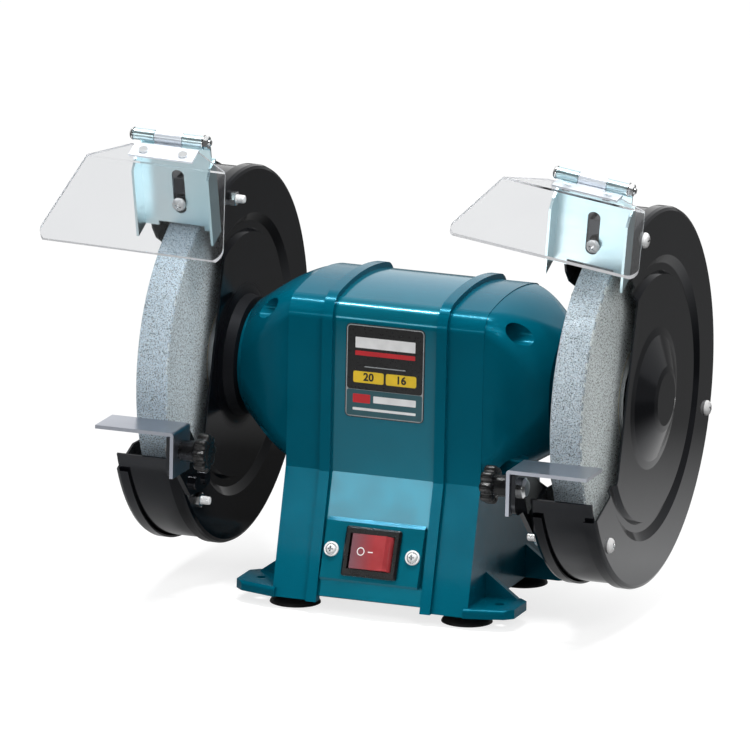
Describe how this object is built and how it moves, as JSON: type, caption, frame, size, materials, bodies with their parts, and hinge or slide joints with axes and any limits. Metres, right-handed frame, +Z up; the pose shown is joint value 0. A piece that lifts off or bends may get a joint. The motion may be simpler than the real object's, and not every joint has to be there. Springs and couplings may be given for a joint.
{
  "type": "bench grinder",
  "caption": "Double-ended bench grinder: motor body on rubber feet, guarded grinding wheels at both ends, sliding tool rests, hinged clear eye shields and a rocker switch.",
  "frame": {"origin": "middle of the four bench bolt holes, on the underside of the lugs, 7.6 mm above the plane the feet stand on", "axes": "+X along the shaft to the right-hand wheel, +Y to the back, +Z up"},
  "size_m": [0.3783, 0.2736, 0.291],
  "materials": {
    "teal_paint": "gloss",
    "black_steel": "satin",
    "rubber": "matte",
    "zinc_fasteners": "satin",
    "zinc_sheet": "satin",
    "bright_steel": "satin",
    "core_steel": "satin",
    "copper": "gloss",
    "abrasive": "matte",
    "paper": "matte",
    "clear_plastic": "gloss",
    "black_plastic": "satin",
    "red_rocker": "gloss",
    "label": "satin"
  },
  "bodies": {
    "machine": {"centre_shell": "teal_paint", "left_end_housing": "teal_paint", "right_end_housing": "teal_paint", "switch_plate": "teal_paint", "base_plate": "black_steel", "left_guard_inner_plate": "black_steel", "right_guard_inner_plate": "black_steel", "left_guard_cover": "black_steel", "right_guard_cover": "black_steel", "left_guard_band": "black_steel", "right_guard_band": "black_steel", "left_rest_arm": "black_steel", "right_rest_arm": "black_steel", "rest_arm_screws": "black_steel", "rubber_feet": "rubber", "cable_grommet": "rubber", "foot_screws": "zinc_fasteners", "base_screws": "zinc_fasteners", "panel_screws": "zinc_fasteners", "guard_clamp_screws": "zinc_fasteners", "guard_clamp_nuts": "zinc_fasteners", "guard_mounting_screws": "zinc_fasteners", "rest_bolts": "zinc_fasteners", "bracket_clamp_bolts": "zinc_fasteners", "through_bolts": "zinc_fasteners", "through_bolt_nuts": "zinc_fasteners", "bearing_outer_races": "bright_steel", "stator_core": "core_steel", "stator_windings": "copper", "switch_bezel": "black_plastic", "run_capacitor": "black_plastic", "rating_label": "label"},
    "rotor": {"shaft": "bright_steel", "rotor_core": "core_steel", "bearing_inner_races": "bright_steel", "bearing_balls": "bright_steel", "left_grinding_wheel": "abrasive", "right_grinding_wheel": "abrasive", "wheel_flanges": "bright_steel", "wheel_blotters": "paper", "arbor_nuts": "bright_steel"},
    "left_bracket": {"left_shield_bracket": "zinc_sheet", "left_hinge_rod": "zinc_fasteners"},
    "right_bracket": {"right_shield_bracket": "zinc_sheet", "right_hinge_rod": "zinc_fasteners"},
    "left_shield": {"left_hinge_leaf": "zinc_fasteners", "left_eye_shield": "clear_plastic", "left_shield_rivets": "zinc_fasteners"},
    "right_shield": {"right_hinge_leaf": "zinc_fasteners", "right_eye_shield": "clear_plastic", "right_shield_rivets": "zinc_fasteners"},
    "left_rest": {"left_tool_rest": "zinc_sheet"},
    "right_rest": {"right_tool_rest": "zinc_sheet"},
    "left_knob": {"left_rest_knob": "black_plastic"},
    "right_knob": {"right_rest_knob": "black_plastic"},
    "rocker": {"switch_rocker": "red_rocker"}
  },
  "joints": [
    {"name": "rotor_spin", "type": "hinge", "parent": "machine", "child": "rotor", "pos_m": [0, 0, 0.1286], "axis": [1, 0, 0], "continuous": true},
    {"name": "left_bracket_slide", "type": "slide", "parent": "machine", "child": "left_bracket", "axis": [0.0314, -0.3155, 0.9484], "range_m": [-0.001, 0.002]},
    {"name": "right_bracket_slide", "type": "slide", "parent": "machine", "child": "right_bracket", "axis": [0.1599, -0.3116, 0.9367], "range_m": [-0.001, 0.002]},
    {"name": "left_shield_hinge", "type": "hinge", "parent": "left_bracket", "child": "left_shield", "pos_m": [-0.12921, -0.07981, 0.27671], "axis": [0.9995, 0.0099, -0.0298], "range_deg": [-95, 45]},
    {"name": "right_shield_hinge", "type": "hinge", "parent": "right_bracket", "child": "right_shield", "pos_m": [0.13761, -0.07968, 0.27632], "axis": [0.9871, 0.0505, -0.1517], "range_deg": [-75, 60]},
    {"name": "left_rest_slide", "type": "slide", "parent": "machine", "child": "left_rest", "axis": [0, -1, 0], "range_m": [-0.0015, 0.008]},
    {"name": "right_rest_slide", "type": "slide", "parent": "machine", "child": "right_rest", "axis": [0, -1, 0], "range_m": [-0.0015, 0.008]},
    {"name": "left_knob_turn", "type": "hinge", "parent": "machine", "child": "left_knob", "pos_m": [-0.0996, -0.115, 0.0956], "axis": [-1, 0, 0], "range_deg": [0, 360]},
    {"name": "right_knob_turn", "type": "hinge", "parent": "machine", "child": "right_knob", "pos_m": [0.0996, -0.115, 0.0956], "axis": [1, 0, 0], "range_deg": [-360, 0]},
    {"name": "switch_rock", "type": "hinge", "parent": "machine", "child": "rocker", "pos_m": [0, -0.06564, 0.03157], "axis": [0, 0.3421, 0.9397], "range_deg": [0, 14]}
  ]
}
